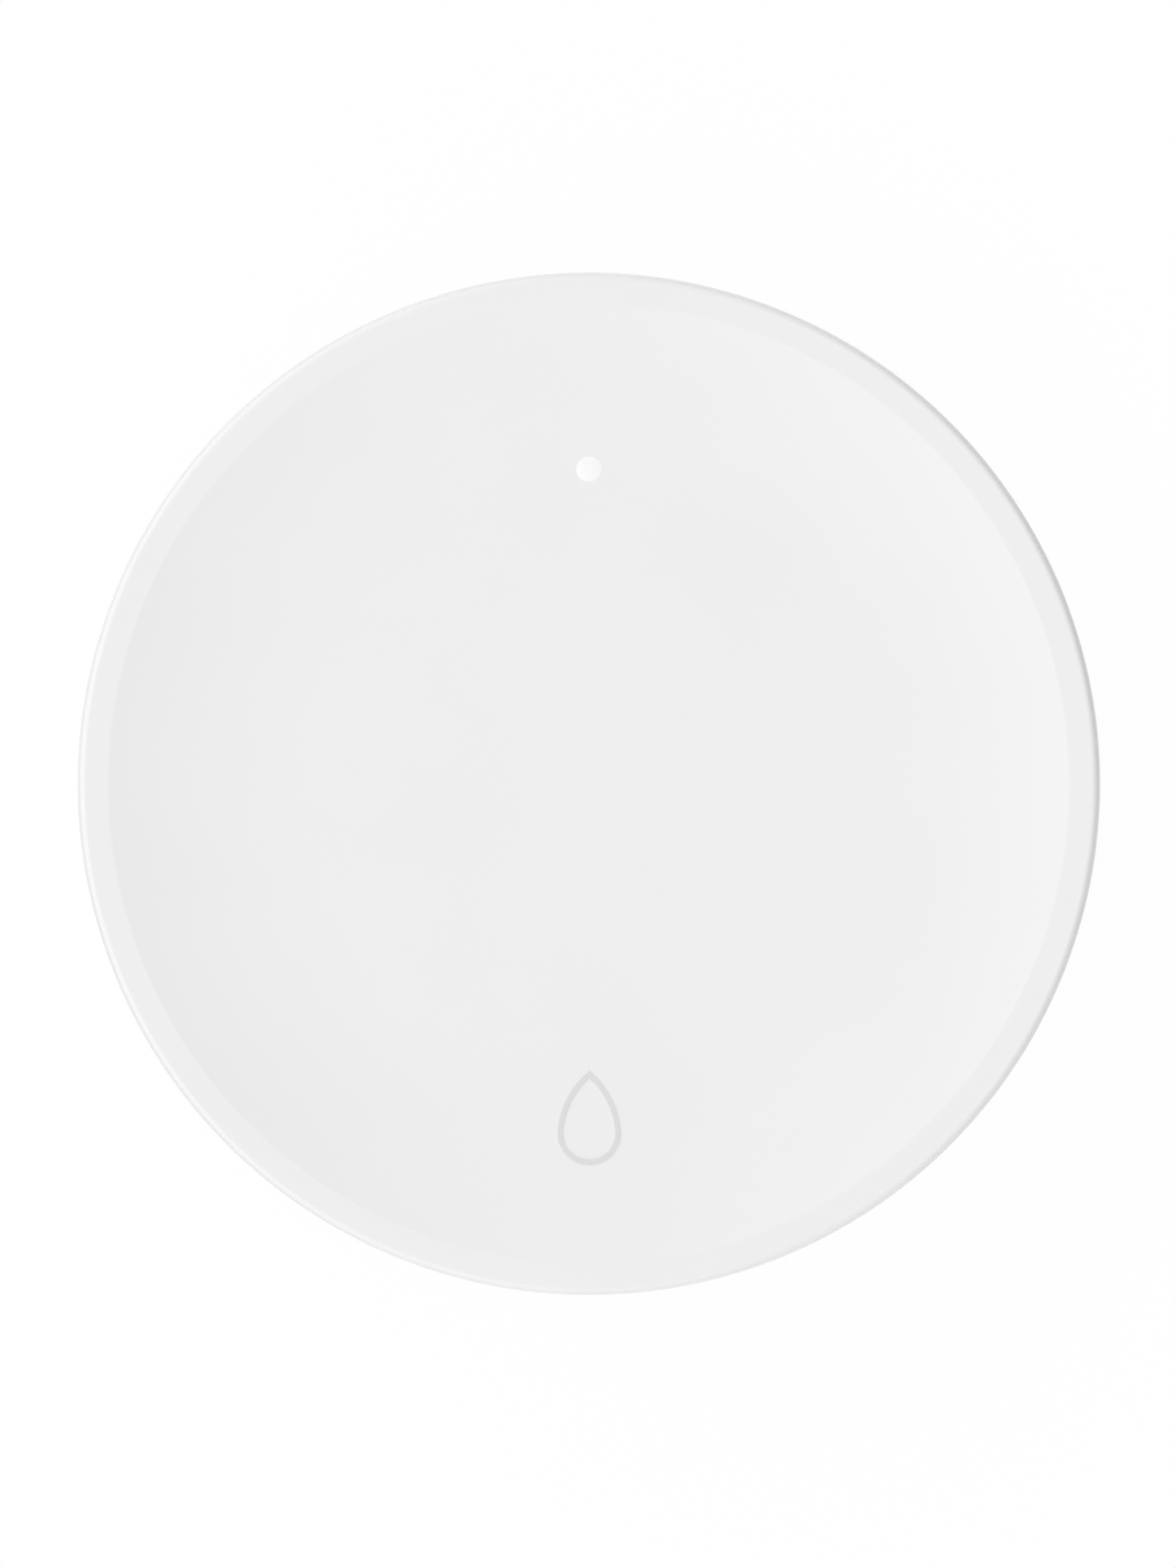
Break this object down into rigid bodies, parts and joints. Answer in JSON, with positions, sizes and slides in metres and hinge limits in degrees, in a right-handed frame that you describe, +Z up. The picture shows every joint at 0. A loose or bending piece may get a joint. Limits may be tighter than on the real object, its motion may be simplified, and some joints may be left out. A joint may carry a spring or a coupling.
{
  "type": "water leak sensor",
  "caption": "Round white puck that senses water at metal probes under it, with a dished top, a lamp dot, a press spot marked with a drop and a bayonet battery cover.",
  "frame": {"origin": "centre of the underside, at the height that the feet stand on", "axes": "+Z up along the round axis, +Y towards the lamp, -Y towards the press spot"},
  "size_m": [0.05, 0.05, 0.015],
  "materials": {
    "white_shell": "moulded, fine matt texture",
    "seal_rubber": "moulded silicone rubber",
    "clear_pipe": "moulded clear acrylic",
    "led_package": "moulded white package",
    "black_plastic": "moulded black plastic",
    "sheet_steel": "pressed sheet",
    "board_laminate": "glass laminate with green mask",
    "screw_steel": "plated",
    "gilt_copper": "gilt",
    "cell_steel": "plated",
    "gasket_plastic": "moulded",
    "probe_steel": "turned stainless",
    "brass": "turned",
    "grey_ink": "printed ink",
    "pad_foam": "cut foam"
  },
  "bodies": {
    "housing": {"top_cover": "white_shell", "base_shell": "white_shell", "shell_seal": "seal_rubber", "light_pipe": "clear_pipe", "status_led": "led_package", "button_web": "white_shell", "tact_switch_body": "black_plastic", "switch_cover_plate": "sheet_steel", "switch_dome": "sheet_steel", "circuit_board": "board_laminate", "board_screws": "screw_steel", "radio_chip": "black_plastic", "crystal": "sheet_steel", "chip_antenna": "led_package", "chip_components": "black_plastic", "test_pads": "gilt_copper", "cell_holder": "black_plastic", "positive_contact": "gilt_copper", "negative_contact": "gilt_copper", "coin_cell_can": "cell_steel", "coin_cell_gasket": "gasket_plastic", "coin_cell_cap": "cell_steel", "coin_cell_stack": "black_plastic", "probe_screw_left": "probe_steel", "probe_screw_right": "probe_steel", "probe_seal_left": "seal_rubber", "probe_seal_right": "seal_rubber", "probe_standoff_left": "brass", "probe_standoff_right": "brass"},
    "button": {"button_pad": "white_shell", "droplet_mark": "grey_ink", "switch_stem": "black_plastic"},
    "cover_seal": {"cover_seal_ring": "seal_rubber"},
    "battery_cover": {"battery_cover": "white_shell", "cell_pad": "pad_foam"}
  },
  "joints": [
    {"name": "button_press", "type": "slide", "parent": "housing", "child": "button", "axis": [0, 0, -1], "range_m": [0, 0.0003], "stiffness_N_per_m": 6000, "deforming": ["button_web", "switch_dome"]},
    {"name": "cover_lift", "type": "slide", "parent": "housing", "child": "cover_seal", "axis": [0, 0, -1], "range_m": [0, 0.0045]},
    {"name": "cover_turn", "type": "hinge", "parent": "cover_seal", "child": "battery_cover", "pos_m": [0, 0, 0], "axis": [0, 0, -1], "range_deg": [0, 90]}
  ],
  "couplings": [
    {"joint": "cover_lift", "follows": "cover_turn", "m_per_rad": 0.0028648}
  ]
}
